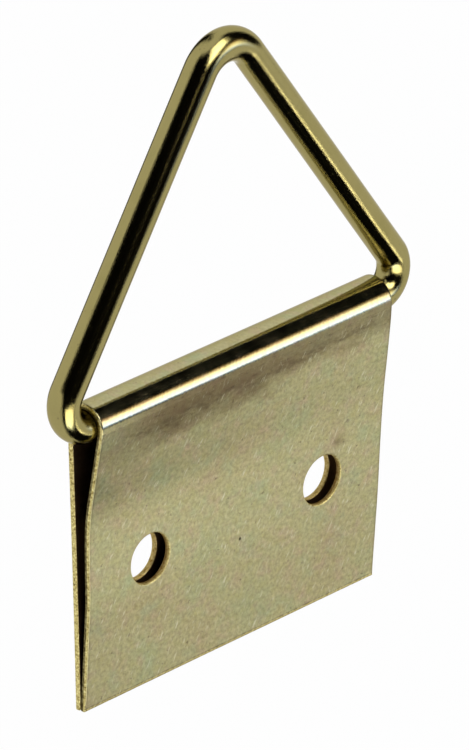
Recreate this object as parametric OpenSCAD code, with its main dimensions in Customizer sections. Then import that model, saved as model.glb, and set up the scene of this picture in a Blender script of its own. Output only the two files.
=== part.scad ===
// Triangle-ring strap hanger: a bent wire triangle swings in the fold of a sheet metal strap.
// Millimetres. X runs along the hinge, Y to the back and Z up. The origin is on the back face,
// midway between the two screw holes.

/* [Strap] */
// Width of the strap, along the hinge
strap_w = 30.5; // [22:0.5:60]
// Height of the folded strap, from the top of its fold to its bottom edge
strap_h = 24.5; // [20:0.5:50]
// Thickness of the sheet
sheet_t = 0.45; // [0.3:0.05:0.8]
// Gap between the two leaves at the front leaf's crease
crease_gap = 1.15; // [0.6:0.05:1.6]
// Gap between the two leaves at their bottom edges
foot_gap = 0.1; // [0.05:0.05:0.4]
// Share of the front leaf's height that lies over the lower end of its crease
slope_share = 0.38; // [0.3:0.05:0.5]
// Radius inside the crease of the front leaf
crease_r = 12.5; // [2:0.5:14]

/* [Screw holes] */
// Diameter of the two screw holes
hole_d = 4; // [2:0.1:6]
// Distance between the centres of the two screw holes
hole_pitch = 18; // [12:0.5:50]
// Height of the centres of the screw holes above the strap's bottom edge
hole_up = 10.2; // [6:0.5:20]

/* [Ring] */
// Diameter of the wire
wire_d = 2.5; // [1.5:0.1:4]
// Height of the triangle, over the wire
ring_h = 27.1; // [20:0.1:60]
// Radius inside the bend at the top of the triangle
apex_r = 1.75; // [0.5:0.25:5]
// Radius inside the bends at the two lower corners of the triangle
corner_r = 0.7; // [0.4:0.1:3]
// Gap between the two ends of the wire, in the middle of the bar
end_gap = 0.4; // [0.1:0.1:2]

/* [Fit] */
// Radial play of the bar in the fold
hinge_play = 0.05; // [0.01:0.01:0.1]
// Play at each edge of the strap before the corner bend starts
side_play = 0.1; // [0.05:0.05:0.5]

/* [Hidden] */
$fn = 48;

strap_colour = [0.62, 0.58, 0.37];
ring_colour = [0.62, 0.55, 0.29];

// The hinge, where the bar and the fold share one axis
wire_r = wire_d / 2;
fold_in_r = wire_r + hinge_play;
fold_out_r = fold_in_r + sheet_t;
foot_z = -hole_up;
hinge_z = foot_z + strap_h - fold_out_r;

// The front leaf's outer face slopes back from the fold, turns at the crease and leans back less from there
leaf_height = hinge_z - foot_z;
slope_drop = slope_share * leaf_height;
foot_drop = leaf_height - slope_drop;
foot_deg = atan2(crease_gap - foot_gap, foot_drop);
foot_len = norm([crease_gap - foot_gap, foot_drop]);
// Centre of the crease, behind and below the hinge
crease_back = fold_out_r - 2 * sheet_t - crease_gap - crease_r * cos(foot_deg);
crease_down = slope_drop + crease_r * sin(foot_deg);
// The slope touches the circle of the fold and that of the crease
both_r = fold_out_r + crease_r;
slope_len = sqrt(crease_back * crease_back + crease_down * crease_down - both_r * both_r);
slope_deg = atan2(slope_len, -both_r) - atan2(crease_down, crease_back);

// The centre line of the wire
apex_mid_r = apex_r + wire_r;
corner_mid_r = corner_r + wire_r;
bar_half = strap_w / 2 + side_play;
apex_z = ring_h - wire_d - apex_mid_r;
span = norm([bar_half, apex_z - corner_mid_r]);
leg_len = sqrt(span * span - (apex_mid_r - corner_mid_r) * (apex_mid_r - corner_mid_r));
// Direction in which the outside of the right leg faces, counted up from +X
leg_deg = atan2(apex_z - corner_mid_r, -bar_half) - acos((corner_mid_r - apex_mid_r) / span);

// The strap is drawn as a flat profile, in which X runs to the back and Y runs up.
// What lies past the end of a bend that starts at +X and turns towards +Y
module past_turn(turn) {
    rotate(turn)
        translate([-strap_h, 0])
            square([2 * strap_h, strap_h]);
}

// Half a turn of sheet around the origin, from +X over the top
module half_turn(inside_r) {
    difference() {
        circle(r = inside_r + sheet_t);
        circle(r = inside_r);
        past_turn(180);
    }
}

// A flat run of sheet going up, with what follows it at its end
module flat_run(length) {
    translate([-sheet_t, 0])
        square([sheet_t, length]);
    translate([0, length])
        children();
}

// A bend towards the bar's side of the sheet, with what follows it at its end
module bend_in(inside_r, turn) {
    translate([-sheet_t - inside_r, 0]) {
        difference() {
            half_turn(inside_r);
            past_turn(turn);
        }
        rotate(turn)
            translate([sheet_t + inside_r, 0])
                children();
    }
}

// A bend away from the bar's side of the sheet, with what follows it at its end
module bend_out(inside_r, turn) {
    translate([inside_r, 0]) {
        mirror([1, 0])
            difference() {
                half_turn(inside_r);
                past_turn(turn);
            }
        rotate(-turn)
            translate([-inside_r, 0])
                children();
    }
}

// The half turn over the bar, with what follows it at its end
module fold_over() {
    translate([-fold_out_r, 0]) {
        half_turn(fold_in_r);
        rotate(180)
            translate([fold_out_r, 0])
                children();
    }
}

// Both leaves and the fold as one sheet, from the foot of the back leaf to that of the front leaf
module strap_profile() {
    translate([0, foot_z])
        flat_run(hinge_z - foot_z)
            fold_over()
                bend_in(fold_in_r, slope_deg)
                    flat_run(slope_len)
                        bend_out(crease_r, slope_deg - foot_deg)
                            flat_run(foot_len);
}

module screw_hole() {
    rotate([90, 0, 0])
        cylinder(d = hole_d, h = 4 * fold_out_r, center = true);
}

module folded_strap() {
    color(strap_colour)
        difference() {
            translate([-strap_w / 2, 0, 0])
                rotate([90, 0, 90])
                    linear_extrude(strap_w)
                        strap_profile();
            translate([-hole_pitch / 2, 0, 0])
                screw_hole();
            translate([hole_pitch / 2, 0, 0])
                screw_hole();
        }
}

// What lies past the end of a bend of the wire that starts at +X and turns towards +Y
module past_bend(turn) {
    rotate([0, 0, turn])
        translate([-ring_h, 0, -wire_d])
            cube([2 * ring_h, ring_h, 2 * wire_d]);
}

// A straight run of wire along X, with what follows it at its end
module wire_run(length) {
    rotate([0, 90, 0])
        cylinder(r = wire_r, h = length);
    translate([length, 0, 0])
        children();
}

// A bend of the wire in the XY plane, with what follows it at its end
module wire_bend(mid_r, turn) {
    translate([0, mid_r, 0])
        rotate([0, 0, -90]) {
            difference() {
                rotate_extrude(angle = 180)
                    translate([mid_r, 0])
                        circle(r = wire_r);
                past_bend(turn);
            }
            rotate([0, 0, turn])
                translate([mid_r, 0, 0])
                    rotate([0, 0, 90])
                        children();
        }
}

// The wire lying flat, from one of its ends in the middle of the bar round to the other
module bent_wire() {
    translate([end_gap / 2, 0, 0])
        wire_run(bar_half - end_gap / 2)
            wire_bend(corner_mid_r, 90 + leg_deg)
                wire_run(leg_len)
                    wire_bend(apex_mid_r, 180 - 2 * leg_deg)
                        wire_run(leg_len)
                            wire_bend(corner_mid_r, 90 + leg_deg)
                                wire_run(bar_half - end_gap / 2);
}

module triangle_ring() {
    color(ring_colour)
        translate([0, -fold_out_r, hinge_z])
            rotate([90, 0, 0])
                bent_wire();
}

folded_strap();
triangle_ring();
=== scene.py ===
"""Triangle-ring strap hanger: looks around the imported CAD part.

Lengths are in millimetres until a mesh, a light or the camera is placed. x runs along the fold, the front
is -y, z is up, and the origin lies between the two screw holes on the back.
"""
import math

import bpy
import numpy as np
from mathutils import Matrix, Vector, noise


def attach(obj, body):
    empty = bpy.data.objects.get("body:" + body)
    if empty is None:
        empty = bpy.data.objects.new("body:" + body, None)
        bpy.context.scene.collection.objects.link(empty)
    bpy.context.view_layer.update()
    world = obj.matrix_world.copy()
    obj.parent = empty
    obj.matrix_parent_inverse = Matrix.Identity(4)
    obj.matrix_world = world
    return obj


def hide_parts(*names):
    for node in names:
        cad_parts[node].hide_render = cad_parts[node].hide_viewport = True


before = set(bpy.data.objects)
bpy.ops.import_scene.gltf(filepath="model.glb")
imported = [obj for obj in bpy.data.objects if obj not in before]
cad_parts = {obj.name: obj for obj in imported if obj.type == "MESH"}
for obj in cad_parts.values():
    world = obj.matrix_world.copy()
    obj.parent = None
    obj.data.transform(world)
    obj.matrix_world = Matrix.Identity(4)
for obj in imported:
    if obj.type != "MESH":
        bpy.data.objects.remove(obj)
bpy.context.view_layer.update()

MM = 0.001

# Sizes of the CAD part
STRAP_W = 30.5
STRAP_H = 24.5
SHEET = 0.45
FOOT_GAP = 0.1
HOLE_R = 2.0
HOLE_X = 9.0
HOLE_UP = 10.2
WIRE_R = 1.25
RING_H = 27.1
APEX_R = 1.75
CORNER_R = 0.7
END_GAP = 0.4
HINGE_PLAY = 0.05
SIDE_PLAY = 0.1

# The front leaf's crease: the gap behind it, its place as a share of the leaf, and its radius. It is softer
# here than in the CAD part
CREASE_GAP = 1.045
SLOPE_SHARE = 0.442
CREASE_R = 40.0

HALF_W = STRAP_W / 2
FOLD_R = WIRE_R + HINGE_PLAY + SHEET
FOOT_Z = -HOLE_UP
HINGE_Z = FOOT_Z + STRAP_H - FOLD_R
HINGE_Y = -FOLD_R
LEAF_H = HINGE_Z - FOOT_Z

# The camera that the photograph was taken with
CAM_AZ = math.radians(-45.96)
CAM_EL = math.radians(23.8)
CAM_ROLL = math.radians(-1.498)
CAM_DIST = 698.5
CAM_FOCAL_PX = 9669.7
CAM_AIM = (0.24, HINGE_Y, HINGE_Z - 1.217)
PHOTO_H = 750
SENSOR = 36.0

# Length of a step along the sheet's path, and steps of the wire's path in each of its sections
PATH_STEP = 0.01
WIRE_FINE = 20

# How much further forward each end of the front leaf stands than its middle line, by depth under the hinge
LEFT_END = [(0, 0), (1.5, -0.03), (4, -0.14), (7.5, -0.25), (11, -0.10), (14, 0.04), (18, 0.0), (22.8, -0.03)]
RIGHT_END = [(0, 0), (1.5, 0.09), (5, 0.22), (8.5, 0.28), (12, 0.22), (15.5, 0.18), (19, 0.07), (22.8, -0.05)]
# Depth of the small waves in the front leaf
LEAF_WAVE = 0.015
# How far the lower left corner of both leaves hangs out of place: to the left, to the back and down
CORNER_SAG = (-0.05, 0.07, -0.12)

# Edges of the sheet from its outer to its inner face: distance inside the cut, depth, how much it is edge
OUTER_RIM = [(0.16, 0.0, 0.0), (0.10, 0.004, 0.0), (0.055, 0.018, 0.2), (0.02, 0.05, 0.8),
             (0.0, 0.11, 1.0), (-0.006, 0.2, 1.0), (-0.006, 0.3, 1.0), (0.0, 0.38, 1.0),
             (0.012, 0.425, 1.0), (0.04, 0.447, 0.8), (0.10, 0.45, 0.2), (0.16, 0.45, 0.0)]
# At a hole the outer face rolls in a little
HOLE_RIM = [(0.12, 0.0, 0.0), (0.07, -0.004, 0.2), (0.03, 0.0, 0.6), (0.0, 0.02, 1.0),
            (-0.02, 0.06, 1.0), (-0.03, 0.12, 1.0), (-0.03, 0.22, 1.0), (-0.03, 0.34, 1.0),
            (-0.015, 0.41, 1.0), (0.02, 0.445, 0.7), (0.07, 0.45, 0.1), (0.12, 0.45, 0.0)]
# Roughness of a hole's wall, in millimetres
HOLE_ROUGH = 0.012
# The flat grid of the sheet ends this far inside its outline, and this far round the middle of each hole
RIM_INSET = 0.34
HOLE_PAD = 3.0
HOLE_CELLS = 16
# Rings of points between the grid and a hole, as shares of the way out
HOLE_RINGS = (0.66, 0.36, 0.15)
# The back leaf's right hole sits a little to the right of the front one
BACK_HOLE_SHIFT = 0.3

# The wire's cut ends: share of its radius and distance from the end
WIRE_END = [(0.86, 0.0), (0.93, 0.03), (0.98, 0.09), (1.0, 0.18)]
WIRE_SIDES = 72
# How uneven the wire is, how much a bend thickens it inside, and how much a corner flattens it outside
WIRE_UNEVEN = 0.006
TOP_SWELL = 0.14
CORNER_SWELL = 0.08
LEFT_FLAT = 0.16
RIGHT_FLAT = 0.03
# A bend this far above the hinge is the top one
TOP_BEND_FROM = 8


def mesh_object(name, verts, faces, smooth=True):
    """A mesh object from points in millimetres."""
    mesh = bpy.data.meshes.new(name)
    mesh.from_pydata([tuple(float(c) * MM for c in v) for v in verts], [], [tuple(f) for f in faces])
    mesh.validate()
    mesh.update()
    for p in mesh.polygons:
        p.use_smooth = smooth
    ob = bpy.data.objects.new(name, mesh)
    bpy.context.scene.collection.objects.link(ob)
    return ob


def add_attribute(ob, name, values):
    """One number at each point, for the material to read."""
    att = ob.data.attributes.new(name, "FLOAT", "POINT")
    att.data.foreach_set("value", [float(v) for v in values])


def add_vector_attribute(ob, name, values):
    """Three numbers at each point, for the material to read."""
    att = ob.data.attributes.new(name, "FLOAT_VECTOR", "POINT")
    att.data.foreach_set("vector", [float(c) for v in values for c in v])


def direction(az, el):
    """The direction that is az to the right of straight in front, and el up, in radians."""
    return Vector((math.sin(az) * math.cos(el), -math.cos(az) * math.cos(el), math.sin(el)))


# ---- camera ----
def make_camera():
    back = direction(CAM_AZ, CAM_EL)
    right = Vector((math.cos(CAM_AZ), math.sin(CAM_AZ), 0.0))
    up = back.cross(right)
    c, s = math.cos(CAM_ROLL), math.sin(CAM_ROLL)
    cam = bpy.data.cameras.new("camera")
    cam.sensor_fit = "AUTO"
    cam.sensor_width = SENSOR
    cam.sensor_height = SENSOR
    cam.lens = CAM_FOCAL_PX / PHOTO_H * SENSOR
    cam.clip_start = 0.01
    cam.clip_end = 50.0
    ob = bpy.data.objects.new("camera", cam)
    bpy.context.scene.collection.objects.link(ob)
    m = Matrix((right * c + up * s, up * c - right * s, back)).transposed().to_4x4()
    m.translation = (Vector(CAM_AIM) + back * CAM_DIST) * MM
    ob.matrix_world = m
    bpy.context.scene.camera = ob


# ---- strap ----
def strap_path():
    """The sheet's outer face, from the foot of the back leaf to that of the front leaf.

    Gives points (length, y, z, turn of the normal) and the lengths at which each straight or bent run ends.
    """
    slope_drop = SLOPE_SHARE * LEAF_H
    lean = math.atan2(CREASE_GAP - FOOT_GAP, LEAF_H - slope_drop)
    foot_len = math.hypot(CREASE_GAP - FOOT_GAP, LEAF_H - slope_drop)
    across = FOLD_R - 2 * SHEET - CREASE_GAP - CREASE_R * math.cos(lean)
    down = slope_drop + CREASE_R * math.sin(lean)
    slope_len = math.sqrt(across ** 2 + down ** 2 - (FOLD_R + CREASE_R) ** 2)
    slope = math.atan2(slope_len, -FOLD_R - CREASE_R) - math.atan2(down, across)
    runs = [(LEAF_H, 0.0), (FOLD_R * (math.pi + slope), math.pi + slope), (slope_len, 0.0),
            (CREASE_R * (slope - lean), lean - slope), (foot_len, 0.0)]
    s, y, z, a = 0.0, 0.0, FOOT_Z, 0.0
    out = [(s, y, z, a)]
    marks = [0.0]
    for length, turn in runs:
        n = max(1, round(length / PATH_STEP))
        step = length / n
        for _ in range(n):
            mid = a + turn / n / 2
            y -= math.sin(mid) * step
            z += math.cos(mid) * step
            a += turn / n
            s += step
            out.append((s, y, z, a))
        marks.append(s)
    return np.array(out), marks


PATH, MARKS = strap_path()
FOLD_START, FOLD_END, CREASE_START, SHEET_END = MARKS[1], MARKS[2], MARKS[3], MARKS[-1]
FRONT_PATH = PATH[PATH[:, 0] > FOLD_END]


def smooth_curve(points, at):
    """A smooth curve through points."""
    xs = [p[0] for p in points]
    ys = [p[1] for p in points]
    at = min(max(at, xs[0]), xs[-1])
    inner = [(ys[i + 1] - ys[i - 1]) / (xs[i + 1] - xs[i - 1]) for i in range(1, len(xs) - 1)]
    slopes = [0.0] + inner + [0.0]
    i = max(0, min(len(xs) - 2, int(np.searchsorted(xs, at)) - 1))
    h = xs[i + 1] - xs[i]
    t = (at - xs[i]) / h
    return ((2 * t ** 3 - 3 * t ** 2 + 1) * ys[i] + (t ** 3 - 2 * t ** 2 + t) * h * slopes[i]
            + (3 * t ** 2 - 2 * t ** 3) * ys[i + 1] + (t ** 3 - t ** 2) * h * slopes[i + 1])


def sheet_point(x, s, w):
    """A point of the strap: x across, s along the outer face, w millimetres below that face."""
    y, z, a = (np.interp(s, PATH[:, 0], PATH[:, k]) for k in (1, 2, 3))
    y -= math.cos(a) * w
    z -= math.sin(a) * w
    across = x / STRAP_W + 0.5
    if s > FOLD_END:
        # the leaf was closed by hand pressure, so it is twisted a little and not quite flat
        deep = HINGE_Z - z
        y -= smooth_curve(LEFT_END, deep) * (1 - across) + smooth_curve(RIGHT_END, deep) * across
        y -= LEAF_WAVE * noise.noise(Vector((x * 0.11, s * 0.10, 3.7))) * min(1.0, deep / 4.0)
    low = max(0.0, (HINGE_Z - z) / LEAF_H) ** 3 * (1 - across) ** 2
    return (x + CORNER_SAG[0] * low, y + CORNER_SAG[1] * low, z + CORNER_SAG[2] * low)


def grid_lines(*runs):
    """The values that divide each run, given as its start, its end and its number of steps."""
    out = [a + (b - a) * i / n for a, b, n in runs for i in range(n)]
    return out + [runs[-1][1]]


def ragged(x, s, w):
    """The fine raggedness of a sheared edge."""
    return (0.012 * noise.noise(Vector((x * 2.3, s * 2.3, w * 4.0)))
            + 0.008 * noise.noise(Vector((x * 7.0, s * 7.0, w * 9.0 + 5.0))))


def build_strap():
    """The folded sheet: two faces with rolled and sheared edges all round and at the four holes."""
    back_hole = HOLE_UP
    front_hole = float(FRONT_PATH[np.argmin(abs(FRONT_PATH[:, 2])), 0])
    pad = HOLE_PAD
    xs = grid_lines((-HALF_W + RIM_INSET, -HOLE_X - pad, 8), (-HOLE_X - pad, -HOLE_X + pad, HOLE_CELLS),
                    (-HOLE_X + pad, HOLE_X - pad, 30), (HOLE_X - pad, HOLE_X + pad, HOLE_CELLS),
                    (HOLE_X + pad, HALF_W - RIM_INSET, 8))
    ss = grid_lines((RIM_INSET, back_hole - pad, 14), (back_hole - pad, back_hole + pad, HOLE_CELLS),
                    (back_hole + pad, FOLD_START, 18), (FOLD_START, FOLD_END, 72),
                    (FOLD_END, CREASE_START, 24), (CREASE_START, front_hole - pad, 14),
                    (front_hole - pad, front_hole + pad, HOLE_CELLS),
                    (front_hole + pad, SHEET_END - RIM_INSET, 20))
    holes = [(side * HOLE_X, hs) for hs in (back_hole, front_hole) for side in (-1, 1)]
    ni, nj = len(xs) - 1, len(ss) - 1
    verts, faces, edge, coords, bore = [], [], [], [], []

    def add(x, s, w, e, b=0.0):
        verts.append(sheet_point(x, s, w))
        edge.append(e)
        bore.append(b)
        coords.append((x, s, w))
        return len(verts) - 1

    def in_patch(x, s, tight=0.0):
        """Whether a point lies in the square patch that is left free round a hole."""
        return any(abs(x - hx) < pad - tight and abs(s - hs) < pad - tight for hx, hs in holes)

    def bridge(a, b, flip=False):
        """Faces between two closed rings of points."""
        n = len(a)
        for k in range(n):
            q = (a[k], a[(k + 1) % n], b[(k + 1) % n], b[k])
            faces.append(q[::-1] if flip else q)

    layers = {}
    for layer, w in (("out", 0.0), ("in", SHEET)):
        grid = {(i, j): add(x, s, w, 0.0) for i, x in enumerate(xs) for j, s in enumerate(ss)
                if not in_patch(x, s, 1e-6)}
        for i in range(ni):
            for j in range(nj):
                if not in_patch((xs[i] + xs[i + 1]) / 2, (ss[j] + ss[j + 1]) / 2):
                    quad = (grid[i, j], grid[i + 1, j], grid[i + 1, j + 1], grid[i, j + 1])
                    faces.append(quad if layer == "out" else quad[::-1])
        layers[layer] = grid

    # outer edge, as one loop round the sheet
    loop = ([(i, 0) for i in range(ni)] + [(ni, j) for j in range(nj)]
            + [(i, nj) for i in range(ni, 0, -1)] + [(0, j) for j in range(nj, 0, -1)])

    def edge_point(i, j, d):
        """A grid point of the border moved out to d millimetres from the sheet's edge."""
        x = {0: -HALF_W + d, ni: HALF_W - d}.get(i, xs[i])
        s = {0: d, nj: SHEET_END - d}.get(j, ss[j])
        return x, s

    prev = [layers["out"][c] for c in loop]
    for d, w, e in OUTER_RIM:
        ring = []
        for i, j in loop:
            x, s = edge_point(i, j, d + (abs(ragged(xs[i], ss[j], w)) if e > 0.5 else 0.0))
            ring.append(add(x, s, w, e))
        bridge(prev, ring, flip=True)
        prev = ring
    bridge(prev, [layers["in"][c] for c in loop], flip=True)

    for hx, hs in holes:
        i0 = min(range(len(xs)), key=lambda i: abs(xs[i] - (hx - pad)))
        j0 = min(range(len(ss)), key=lambda j: abs(ss[j] - (hs - pad)))
        c = HOLE_CELLS
        square = ([(i0 + k, j0) for k in range(c)] + [(i0 + c, j0 + k) for k in range(c)]
                  + [(i0 + c - k, j0 + c) for k in range(c)] + [(i0, j0 + c - k) for k in range(c)])
        # even angles round the circle, starting at the square's corner
        start = math.atan2(ss[j0] - hs, xs[i0] - hx)
        angles = [start + 2 * math.pi * k / len(square) for k in range(len(square))]
        cut = hx + (BACK_HOLE_SHIFT if hx > 0 and hs < FOLD_START else 0.0)

        def circle(d, w, e):
            """A closed row of points at the depth w, d millimetres outside the hole's radius."""
            rough = HOLE_ROUGH if e > 0.5 else 0.0
            out = []
            for a in angles:
                spot = Vector((math.cos(a) * 3 + hx, math.sin(a) * 3 + hs, w * 6))
                r = HOLE_R + d + rough * noise.noise(spot)
                out.append(add(cut + r * math.cos(a), hs + r * math.sin(a), w, e, e))
            return out

        def between(w, share):
            """A closed row of points between the hole's rim and the square round it."""
            r = HOLE_R + HOLE_RIM[0][0]
            out = []
            for (i, j), a in zip(square, angles):
                cx, cs = cut + r * math.cos(a), hs + r * math.sin(a)
                out.append(add(cx + (xs[i] - cx) * share, cs + (ss[j] - cs) * share, w, 0.0))
            return out

        rings = [[layers["out"][c] for c in square]]
        rings += [between(0.0, share) for share in HOLE_RINGS]
        rings += [circle(*row) for row in HOLE_RIM]
        rings += [between(SHEET, share) for share in HOLE_RINGS[::-1]]
        rings += [[layers["in"][c] for c in square]]
        for a, b in zip(rings, rings[1:]):
            bridge(a, b)

    ob = mesh_object("strap_sheet", verts, faces)
    add_attribute(ob, "edge", edge)
    add_attribute(ob, "bore", bore)
    add_vector_attribute(ob, "sheet", coords)
    return ob


# ---- ring ----
def ring_path():
    """The wire's centre line from one end round to the other: x, z, turn, length, how much it is a bend."""
    bar = HALF_W + SIDE_PLAY
    am, cm = APEX_R + WIRE_R, CORNER_R + WIRE_R
    apex = RING_H - 2 * WIRE_R - am
    span = math.hypot(bar, apex - cm)
    lean = math.atan2(apex - cm, -bar) - math.acos((cm - am) / span)
    leg = math.sqrt(span * span - (am - cm) ** 2)
    half_bar = (bar - END_GAP / 2, 0.0, 30)
    corner = (cm * (math.pi / 2 + lean), math.pi / 2 + lean, 44)
    side = (leg, 0.0, 56)
    top = (am * (math.pi - 2 * lean), math.pi - 2 * lean, 48)
    x, z, a, s = END_GAP / 2, 0.0, 0.0, 0.0
    out = [(x, z, a, s, 0.0)]
    for length, turn, n in (half_bar, corner, side, top, side, corner, half_bar):
        step = length / n / WIRE_FINE
        for k in range(1, n + 1):
            for _ in range(WIRE_FINE):
                mid = a + turn / n / WIRE_FINE / 2
                x += math.cos(mid) * step
                z += math.sin(mid) * step
                a += turn / n / WIRE_FINE
                s += step
            bend = math.sin(math.pi * k / n) if turn else 0.0
            out.append((x, z, a, s, bend))
    return out


def wire_radius(x, z, s, b, bend, share):
    """The wire's radius at the angle b round it, where b = 0 is the outer side of the triangle."""
    r = WIRE_R * share
    if abs(x) >= HALF_W or z >= 1.0:
        # drawn wire is a little uneven; the bar inside the fold is left even, so that it turns freely
        r += WIRE_UNEVEN * noise.noise(Vector((s * 0.35, math.cos(b) * 0.8, math.sin(b) * 0.8))) - WIRE_UNEVEN
    inside, outside = max(0.0, -math.cos(b)) ** 2, max(0.0, math.cos(b)) ** 2
    if z > TOP_BEND_FROM:
        return r + TOP_SWELL * bend * inside
    flat = LEFT_FLAT if x < 0 else RIGHT_FLAT
    return r + bend * (CORNER_SWELL * inside * min(1.0, z / 2.0) - flat * outside)


def build_ring():
    """The bent wire, as sections along its path that end in two rounded cuts."""
    path = ring_path()
    verts, faces, bends, coords = [], [], [], []

    def section(x, z, a, s, bend, share=1.0, slide=0.0):
        """A closed row of points round the wire, slid along it by a distance."""
        nx, nz = math.sin(a), -math.cos(a)
        for k in range(WIRE_SIDES):
            b = 2 * math.pi * k / WIRE_SIDES
            r = wire_radius(x, z, s, b, bend, share)
            px = x + nx * r * math.cos(b) + math.cos(a) * slide
            pz = z + nz * r * math.cos(b) + math.sin(a) * slide
            verts.append((px, HINGE_Y + r * math.sin(b), HINGE_Z + pz))
            bends.append(bend)
            coords.append((s, b, bend))
        return range(len(verts) - WIRE_SIDES, len(verts))

    rings = [section(*path[0], share, slide) for share, slide in WIRE_END]
    rings += [section(*p) for p in path[1:-1]]
    rings += [section(*path[-1], share, -slide) for share, slide in WIRE_END[::-1]]
    for r0, r1 in zip(rings, rings[1:]):
        for k in range(WIRE_SIDES):
            faces.append((r0[k], r0[(k + 1) % WIRE_SIDES], r1[(k + 1) % WIRE_SIDES], r1[k]))
    faces.append(tuple(rings[0][::-1]))
    faces.append(tuple(rings[-1]))
    ob = mesh_object("ring_wire", verts, faces)
    add_attribute(ob, "bend", bends)
    add_vector_attribute(ob, "wire", coords)
    return ob


# ---- materials ----
class Nodes:
    """A short way to build the node tree of a material or a world."""

    def __init__(self, owner):
        owner.use_nodes = True
        self.owner = owner
        self.tree = owner.node_tree
        self.tree.nodes.clear()

    def add(self, kind, inputs=None, **props):
        n = self.tree.nodes.new(kind)
        for k, v in props.items():
            setattr(n, k, v)
        for k, v in (inputs or {}).items():
            self.put(n, k, v)
        return n

    def put(self, node, key, value):
        socket = node.inputs[key]
        if isinstance(value, bpy.types.NodeSocket):
            self.tree.links.new(value, socket)
        else:
            socket.default_value = value

    def math(self, op, a, b=None, clamp=False):
        inputs = {0: a} if b is None else {0: a, 1: b}
        return self.add("ShaderNodeMath", inputs, operation=op, use_clamp=clamp).outputs[0]

    def plus(self, a, b):
        return self.math("ADD", a, b)

    def minus(self, a, b):
        return self.math("SUBTRACT", a, b)

    def times(self, a, *more):
        """The product of two or more values."""
        for b in more:
            a = self.math("MULTIPLY", a, b)
        return a

    def least(self, a, b):
        return self.math("MINIMUM", a, b)

    def most(self, a, b):
        return self.math("MAXIMUM", a, b)

    def rest(self, a):
        """What is left of 1."""
        return self.math("SUBTRACT", 1.0, a)

    def mix(self, share, a, b, kind="MIX"):
        return self.add("ShaderNodeMix", {0: share, 6: a, 7: b}, data_type="RGBA", blend_type=kind).outputs[2]

    def tint(self, tone, colour, share):
        """A tone that goes over to a plain colour by a share."""
        return self.mix(share, tone, (*colour, 1.0))

    def ramp(self, value, stops):
        n = self.add("ShaderNodeValToRGB", {0: value})
        els = n.color_ramp.elements
        while len(els) < len(stops):
            els.new(0.5)
        for el, (pos, colour) in zip(els, stops):
            el.position = pos
            el.color = (*colour, 1.0)
        return n.outputs[0]

    def span(self, value, start, end, low=0.0, high=1.0):
        """Goes from low to high while a value goes from start to end."""
        inputs = {0: value, 1: start, 2: end, 3: low, 4: high}
        return self.add("ShaderNodeMapRange", inputs, clamp=True).outputs[0]

    def noise(self, vec, scale, detail=2.0, rough=0.5):
        inputs = {"Scale": scale, "Detail": detail, "Roughness": rough, "Distortion": 0.0, "Vector": vec}
        return self.add("ShaderNodeTexNoise", inputs).outputs["Fac"]

    def mapped(self, vec, scale=(1, 1, 1), turn=0.0, move=(0, 0, 0)):
        inputs = {"Vector": vec, "Scale": scale, "Rotation": (0, 0, math.radians(turn)), "Location": move}
        return self.add("ShaderNodeMapping", inputs).outputs[0]

    def attribute(self, name, out="Fac"):
        return self.add("ShaderNodeAttribute", attribute_name=name).outputs[out]

    def bumps(self, *layers):
        """The normal under several layers of bump: strength, depth in millimetres, and height."""
        inputs = {}
        for strength, depth, height in layers:
            inputs.update({"Strength": strength, "Distance": depth * MM, "Height": height})
            normal = self.add("ShaderNodeBump", inputs).outputs[0]
            inputs["Normal"] = normal
        return normal

    def metal(self, tone, rough, edge_tint, normal):
        inputs = {"Metallic": 1.0, "Base Color": tone, "Roughness": rough, "Specular Tint": (*edge_tint, 1.0),
                  "Normal": normal}
        return self.finish(self.add("ShaderNodeBsdfPrincipled", inputs))

    def blend(self, share, a, b, output="ShaderNodeOutputMaterial"):
        """The finished material or world that mixes two shaders."""
        mixed = self.add("ShaderNodeMixShader", {0: share, 1: a.outputs[0], 2: b.outputs[0]})
        return self.finish(mixed, output)

    def seen(self):
        """1 for rays that come from the camera, from a reflection or through glass."""
        path = self.add("ShaderNodeLightPath")
        direct = self.math("ADD", path.outputs["Is Camera Ray"], path.outputs["Is Glossy Ray"], clamp=True)
        return self.math("ADD", direct, path.outputs["Is Transmission Ray"], clamp=True)

    def finish(self, shader, output="ShaderNodeOutputMaterial"):
        self.add(output, {"Surface": shader.outputs[0]})
        return self.owner


def material_nodes(name):
    return Nodes(bpy.data.materials.new(name))


# Colours of the strap's plating, of its marks and darker places, and of the painted shade along its edges
PLATING = [(0.3, (0.425, 0.368, 0.205)), (0.5, (0.445, 0.412, 0.222)), (0.7, (0.395, 0.398, 0.215))]
PINK = (0.49, 0.37, 0.255)
GREEN = (0.345, 0.42, 0.25)
YELLOW = (0.41, 0.375, 0.145)
PIT = (0.16, 0.12, 0.08)
NEAR_FOLD_BROWN = (0.13, 0.085, 0.045)
DASH = (0.09, 0.065, 0.04)
DARK_LINE = (0.10, 0.075, 0.045)
LEFT_SIDE_DARK = (0.12, 0.10, 0.06)
SIDE_RIM_SHADE = (0.10, 0.085, 0.04)
DEEP_PIT = (0.02, 0.018, 0.012)
STAIN = (0.14, 0.10, 0.06)
INSIDE = (0.17, 0.085, 0.045)
NOTCH = (0.09, 0.07, 0.035)
TORN_AND_SHADE = (0.035, 0.024, 0.012)
BORE = (0.30, 0.16, 0.035)
HAIRLINE = (0.66, 0.64, 0.44)
RAW_EDGE = [(0.34, (0.13, 0.085, 0.03)), (0.45, (0.56, 0.46, 0.16)), (0.64, (0.93, 0.85, 0.43))]


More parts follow.
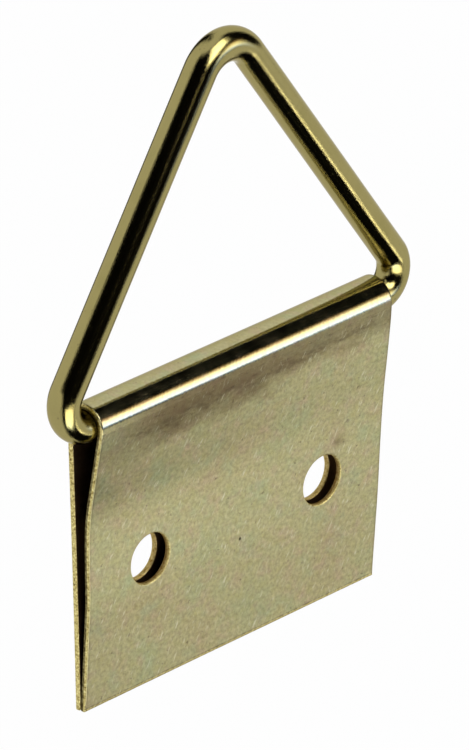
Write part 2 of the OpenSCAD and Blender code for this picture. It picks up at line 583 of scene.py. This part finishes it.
def strap_material():
    """Satin plating that is polished on the fold, darker and browner under it, and cut through at the edges.
    """
    t = material_nodes("strap_plating")
    sheet = t.attribute("sheet", "Vector")
    edge = t.attribute("edge")
    parts = t.add("ShaderNodeSeparateXYZ", {0: sheet}).outputs
    across, along, depth = parts[0], parts[1], parts[2]
    fold = t.times(t.span(along, FOLD_START - 0.4, FOLD_START + 0.6),
                   t.span(along, FOLD_END - 0.32, FOLD_END + 0.25, 1.0, 0.0))

    def patches(move, scale, detail=3.0, rough=0.6, stretch=(1, 1, 1)):
        return t.noise(t.mapped(sheet, scale=stretch, move=move), scale, detail, rough)

    # broad, soft changes of tone
    blotch = patches((11, 4, 0), 0.55, 4.0, 0.65)
    tone = t.ramp(t.noise(sheet, 0.16, 3.0, 0.6), PLATING)
    tone = t.tint(tone, PINK, t.times(t.span(blotch, 0.50, 0.72), 0.75))
    tone = t.tint(tone, GREEN, t.times(t.span(patches((3, 27, 0), 0.4), 0.52, 0.75), 0.6))
    tone = t.tint(tone, YELLOW, t.times(t.span(patches((9, 3, 0), 1.3), 0.45, 0.70), 0.4))

    # fine grain, weaker on the fold, and small dark pits
    grain = t.noise(sheet, 3.1, 4.0, 0.7)
    tone = t.mix(t.rest(t.times(fold, 0.6)), tone, t.span(grain, 0.25, 0.75, 0.66, 1.34), "MULTIPLY")
    pit = t.span(patches((5, 5, 0), 2.4, 2.0, 0.5), 0.68, 0.73)
    tone = t.tint(tone, PIT, t.times(pit, 0.55))

    # a brown darkening under the fold, deepest left of the middle, with streaks along the fold
    wave = patches((0, 0, 0), 1.0, 4.0, 0.65, stretch=(0.30, 0.8, 1))
    sway = t.minus(wave, 0.5)
    below = t.minus(along, FOLD_END)
    reach = t.span(across, 0.0, 7.0, 3.7, 2.5)
    fade = t.rest(t.span(t.math("DIVIDE", t.minus(below, t.times(sway, 4.0)), reach), 0.3, 1.0))
    sides = t.least(t.span(across, -15.0, -8.5, 0.2, 1.0), t.span(across, 0.0, 12.0, 1.0, 0.72))
    below_fold_dark = t.times(t.span(along, FOLD_END - 0.72, FOLD_END - 0.40), fade, sides,
                     t.span(blotch, 0.3, 0.6, 0.8, 1.0))
    tone = t.tint(tone, NEAR_FOLD_BROWN, t.times(below_fold_dark, 0.82))
    dash = t.span(patches((2, 6, 0), 1.0, stretch=(0.9, 2.6, 1)), 0.58, 0.68)
    tone = t.tint(tone, DASH, t.times(dash, below_fold_dark, 0.55))

    # a weaker brown darkening behind the fold
    behind = t.times(t.span(along, FOLD_START - 3.2, FOLD_START - 0.6),
                     t.span(along, FOLD_START + 0.2, FOLD_START + 0.8, 1.0, 0.0))
    tone = t.tint(tone, NEAR_FOLD_BROWN, t.times(behind, t.span(wave, 0.38, 0.60), 0.45))

    # a broken dark line in the brown darkening
    off = t.minus(t.minus(below, t.span(across, -12.0, 13.0, 1.35, 0.7)), t.times(sway, 1.6))
    ends = t.least(t.span(across, -13.5, -11.0), t.span(across, 12.5, 14.0, 1.0, 0.0))
    line = t.times(t.span(t.math("ABSOLUTE", off), 0.12, 0.5, 1.0, 0.0), ends)
    breaks = t.span(patches((6, 2, 0), 1.3, rough=0.65, stretch=(0.75, 2.2, 1)), 0.42, 0.58)
    tone = t.tint(tone, DARK_LINE, t.times(line, breaks, 0.5))

    # the face is a little darker along its left side, and painted shade darkens it along the rolled side
    # edges
    left = t.times(t.span(across, -14.5, -10.5, 0.06, 0.0), t.span(along, FOLD_START, FOLD_END))
    tone = t.tint(tone, LEFT_SIDE_DARK, left)
    # painted shade: the face is darkened where its side edges roll away
    side_rim_shade = t.span(t.math("ABSOLUTE", across), HALF_W - 0.3, HALF_W - 0.08)
    tone = t.tint(tone, SIDE_RIM_SHADE, t.times(side_rim_shade, 0.4))

    def spot(x, z, inner, outer):
        """A spot on the front leaf, full inside the inner radius."""
        s = float(np.interp(-z, -FRONT_PATH[:, 2], FRONT_PATH[:, 0]))
        dx, ds = t.minus(across, x), t.minus(along, s)
        return t.span(t.math("SQRT", t.plus(t.times(dx, dx), t.times(ds, ds))), inner, outer, 1.0, 0.0)

    # one deep pit and one stain in the front leaf
    deep_pit = spot(0.36, -1.73, 0.08, 0.17)
    tone = t.tint(tone, DEEP_PIT, t.times(deep_pit, 0.9))
    tone = t.tint(tone, STAIN, t.times(spot(10.6, 2.6, 0.1, 0.95), t.span(wave, 0.35, 0.6), 0.5))

    # the inside of the fold is browner than the outside
    inside = t.span(depth, 0.30, 0.42)
    tone = t.tint(tone, INSIDE, t.times(inside, 0.85))

    # sheared edges are bright and speckled near the face that the blade entered, and dark where they broke;
    # on the fold and the front leaf that dark part is also painted shade from the gap behind them
    speck = t.noise(sheet, 5.0, 4.0, 0.75)
    notch = t.times(t.span(along, SHEET_END - 0.36, SHEET_END - 0.28), t.span(speck, 0.44, 0.56, 1.0, 0.15))
    tone = t.tint(tone, NOTCH, t.times(notch, 0.7))
    foot_rim = t.times(t.span(along, SHEET_END - 0.26, SHEET_END - 0.19), 0.9)
    tone = t.mix(t.most(edge, foot_rim), tone, t.ramp(speck, RAW_EDGE))
    # the real dark break, plus painted shade from the gap on the inner part of the edge of the fold and the
    # front leaf
    torn_and_shade = t.times(edge, t.span(depth, 0.17, 0.27), t.span(along, FOLD_START - 0.5, FOLD_START + 1.0))
    tone = t.tint(tone, TORN_AND_SHADE, t.times(torn_and_shade, t.span(speck, 0.40, 0.62, 0.92, 0.6)))
    bore = t.times(t.attribute("bore"), t.span(depth, 0.03, 0.10))
    tone = t.tint(tone, BORE, t.times(bore, 0.5))

    # hairlines: short strokes, most of them leaning to the right
    streak_a = t.noise(t.mapped(t.mapped(sheet, turn=-29), scale=(4.8, 0.85, 1)), 1.0, 2.0, 0.6)
    streak_b = t.noise(t.mapped(t.mapped(sheet, turn=24), scale=(6.5, 0.9, 1), move=(4, 9, 0)), 1.0, 2.0, 0.6)
    streaks = t.plus(t.times(streak_a, 0.6), t.times(streak_b, 0.4))
    light = t.most(t.span(streak_a, 0.60, 0.68), t.times(t.span(streak_b, 0.64, 0.72), 0.6))
    bare = t.times(t.rest(t.most(t.most(edge, fold), inside)), t.rest(t.times(below_fold_dark, 0.6)))
    worn = t.span(patches((7, 1, 0), 0.9, 2.0, 0.5), 0.40, 0.56, 0.10, 0.75)
    tone = t.tint(tone, HAIRLINE, t.times(light, t.times(worn, bare)))

    # roughness: the fold is polished by bending, the leaves are satin
    pit = t.times(pit, t.rest(fold))
    rough = t.plus(t.span(blotch, 0.3, 0.7, 0.30, 0.40), t.times(streaks, 0.08))
    rough = t.minus(rough, t.times(fold, 0.27))
    rough = t.plus(t.plus(rough, t.times(pit, 0.12)), t.times(edge, 0.22))
    normal = t.bumps((0.30, 0.04, streaks), (0.12, 0.05, grain), (0.25, 0.06, t.rest(t.most(pit, deep_pit))),
                     (0.60, 0.08, t.times(speck, edge)))
    return t.metal(tone, rough, (0.62, 0.58, 0.48), normal)


# Colours of the ring's plating
WIRE_PLATING = [(0.3, (0.30, 0.26, 0.095)), (0.55, (0.33, 0.285, 0.11)), (0.75, (0.31, 0.27, 0.105))]
WIRE_FLECK = (0.26, 0.20, 0.10)
WIRE_PIT = (0.14, 0.10, 0.05)


def ring_material():
    """Glossy plating on drawn wire, with faint drawing lines and pits."""
    t = material_nodes("ring_plating")
    bend = t.attribute("bend")
    space = t.mapped(t.add("ShaderNodeTexCoord").outputs["Object"], scale=(1 / MM, 1 / MM, 1 / MM))
    fine = t.noise(space, 6.0, 4.0, 0.7)
    speckle = t.noise(space, 14.0, 2.0, 0.6)
    pits = t.span(t.noise(space, 3.1, 2.0, 0.5), 0.70, 0.75)
    tone = t.ramp(t.noise(space, 0.35, 3.0, 0.6), WIRE_PLATING)
    tone = t.tint(tone, WIRE_FLECK, t.span(fine, 0.36, 0.6, 0.10, 0.0))
    tone = t.tint(tone, WIRE_PIT, t.times(pits, 0.5))
    # drawing lines run along the wire
    lines = t.noise(t.mapped(t.attribute("wire", "Vector"), scale=(0.18, 16.0, 1)), 1.0, 3.0, 0.65)
    rough = t.plus(t.span(lines, 0.3, 0.7, 0.06, 0.12), t.times(bend, 0.02))
    rough = t.plus(rough, t.times(pits, 0.15))
    normal = t.bumps((0.16, 0.04, lines), (0.10, 0.05, fine), (0.18, 0.03, speckle))
    return t.metal(tone, rough, (0.78, 0.75, 0.66), normal)


# ---- stage ----
WHITE = (1.0, 1.0, 1.0, 1.0)
FLOOR_COLOUR = (0.82, 0.82, 0.81, 1.0)
FLOOR_HALF = 6000
FLOOR_Z = -1000
# How much of the floor's look is plain white where the camera or metal sees it; the rest keeps the shadow
FLOOR_WHITE = 0.96
ROOM_COLOUR = (0.9, 0.92, 0.95, 1.0)
CARD_BLACK = (0.004, 0.004, 0.004, 1.0)
# A softbox is tinted at its low and high ends, with these colours between
GLOW_MIDDLE = [(0.42, (1.0, 1.0, 1.04)), (0.6, (1.0, 0.95, 0.85))]
CARD_CELLS = 72
CENTRE = Vector((0, HINGE_Y, HINGE_Z))


def floor_material():
    """A pale floor that shows as white to the camera and in metal, and keeps the object's shadow."""
    t = material_nodes("pale_floor")
    plain = t.add("ShaderNodeBsdfDiffuse", {"Color": FLOOR_COLOUR})
    white = t.add("ShaderNodeEmission", {"Color": WHITE, "Strength": 1.0})
    return t.blend(t.times(t.seen(), FLOOR_WHITE), plain, white)


def card_material(name):
    """A black studio card that thins out towards its edges."""
    t = material_nodes(name)
    face = t.add("ShaderNodeBsdfDiffuse", {"Color": CARD_BLACK})
    return t.blend(t.attribute("cover"), t.add("ShaderNodeBsdfTransparent"), face)


def glow_material(name, strength, low, high):
    """A softbox that is tinted towards its lower and its upper edge, and thins out towards its edges."""
    t = material_nodes(name)
    colour = t.ramp(t.attribute("height"), [(0.0, low), *GLOW_MIDDLE, (1.0, high)])
    face = t.add("ShaderNodeEmission", {"Color": colour, "Strength": strength})
    return t.blend(t.attribute("cover"), t.add("ShaderNodeBsdfTransparent"), face)


def soft_step(v, width):
    t = min(1.0, max(0.0, v / width))
    return t * t * (3 - 2 * t)


def limit(edge, at):
    """Where a card ends: one angle, or a table with angles along the card's other direction first."""
    return np.interp(at, [p[0] for p in edge], [p[1] for p in edge]) if isinstance(edge, list) else edge


def card(name, az, el, distance, soft, material):
    """A curved card round the object, between two azimuths and two elevations in degrees.

    soft is the width of the fade, in degrees, at its left, right, low and high edge.
    """
    n = CARD_CELLS
    angles = [[p[1] for p in edge] if isinstance(edge, list) else [edge] for edge in (*az, *el)]
    a0, a1, e0, e1 = min(angles[0]), max(angles[1]), min(angles[2]), max(angles[3])
    verts, cover, height = [], [], []
    for j in range(n + 1):
        for i in range(n + 1):
            u = a0 + (a1 - a0) * i / n
            v = e0 + (e1 - e0) * j / n
            verts.append(CENTRE + direction(math.radians(u), math.radians(v)) * distance)
            cover.append(soft_step(u - limit(az[0], v), soft[0]) * soft_step(limit(az[1], v) - u, soft[1])
                         * soft_step(v - limit(el[0], u), soft[2]) * soft_step(limit(el[1], u) - v, soft[3]))
            height.append(j / n)
    corners = [j * (n + 1) + i for j in range(n) for i in range(n)]
    ob = mesh_object(name, verts, [(k, k + 1, k + n + 2, k + n + 1) for k in corners])
    add_attribute(ob, "cover", cover)
    add_attribute(ob, "height", height)
    ob.data.materials.append(material)
    ob.visible_camera = False
    ob.visible_diffuse = False
    ob.visible_shadow = False


def area_light(name, az, el, distance, side, radiance):
    """A square softbox that faces the object; radiance 1 would be white in a mirror."""
    light = bpy.data.lights.new(name, "AREA")
    light.shape = "RECTANGLE"
    light.size = side * MM
    light.size_y = side * MM
    light.energy = radiance * math.pi * side * side * MM * MM
    ob = bpy.data.objects.new(name, light)
    bpy.context.scene.collection.objects.link(ob)
    d = direction(math.radians(az), math.radians(el))
    ob.location = (CENTRE + d * distance) * MM
    ob.rotation_mode = "QUATERNION"
    ob.rotation_quaternion = d.to_track_quat("Z", "Y")


def make_stage():
    h = FLOOR_HALF
    corners = [(-h, -h, FLOOR_Z), (h, -h, FLOOR_Z), (h, h, FLOOR_Z), (-h, h, FLOOR_Z)]
    floor = mesh_object("floor", corners, [(0, 1, 2, 3)], smooth=False)
    floor.data.materials.append(floor_material())

    # in front of the object a dark side of the studio, and behind it one narrow card, give the metal its
    # black bands
    black = card_material("black_card")
    left = [(-86, -70), (8, -72), (22, -75), (30, -90), (38, -104), (66, -106)]
    low = [(-106, -86), (-12, -86), (10, -60), (16, -22), (28, -17), (40, -20), (47, -8), (92, -3)]
    card("card_front", (left, 92), (low, 70), 340, (7, 8, 6, 9), black)
    high = [(-20, -40), (8, -28), (16, -21), (26, -21), (36, -30), (46, -37), (62, -41), (95, -50)]
    card("card_low", (-20, 95), (-85, high), 336, (6, 8, 4, 4), black)
    card("card_back", (146, 173), (-24, 80), 335, (7, 7, 10, 8), black)

    # softboxes seen in the metal
    right = [(14, 14), (24, 24), (40, 38), (64, 50)]
    glow = glow_material("glow_high", 5.4, (1.0, 0.95, 0.82), (1.0, 1.0, 0.97))
    card("softbox_high", (-9, right), (17, 64), 310, (4, 5, 5, 5), glow)
    glow = glow_material("glow_side", 3.6, (0.5, 0.78, 1.9), (1.0, 0.56, 0.24))
    card("softbox_side", (27, 52), (-12.5, 24), 305, (6, 6, 8.5, 19), glow)
    low = [(-54, -50), (-25, -52), (-8, -48), (2, -39), (10, -33), (19, -27)]
    high = [(-54, -9), (-12, -9), (4, -14), (19, -16)]
    glow = glow_material("glow_low", 4.4, (0.85, 0.97, 1.2), (1.0, 0.98, 0.85))
    card("softbox_low", (-49, 18), (low, high), 310, (5, 6, 5, 5), glow)
    glow = glow_material("glow_foot", 9.0, (1.0, 0.9, 0.75), (0.95, 1.0, 1.1))
    card("softbox_foot", (27.5, 37), (-38, -27), 305, (4, 4, 4, 4), glow)
    area_light("key", az=20, el=42, distance=330, side=150, radiance=3.0)


def make_world():
    world = bpy.data.worlds.new("studio")
    t = Nodes(world)
    room = t.add("ShaderNodeBackground", {"Color": ROOM_COLOUR, "Strength": 1.0})
    white = t.add("ShaderNodeBackground", {"Color": WHITE, "Strength": 1.0})
    bpy.context.scene.world = t.blend(t.seen(), room, white, "ShaderNodeOutputWorld")


bpy.context.scene.view_settings.view_transform = "Standard"
make_camera()
make_world()
make_stage()

strap = build_strap()
strap.data.materials.append(strap_material())
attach(strap, "strap")
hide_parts("folded_strap")

ring = build_ring()
ring.data.materials.append(ring_material())
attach(ring, "ring")
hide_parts("triangle_ring")
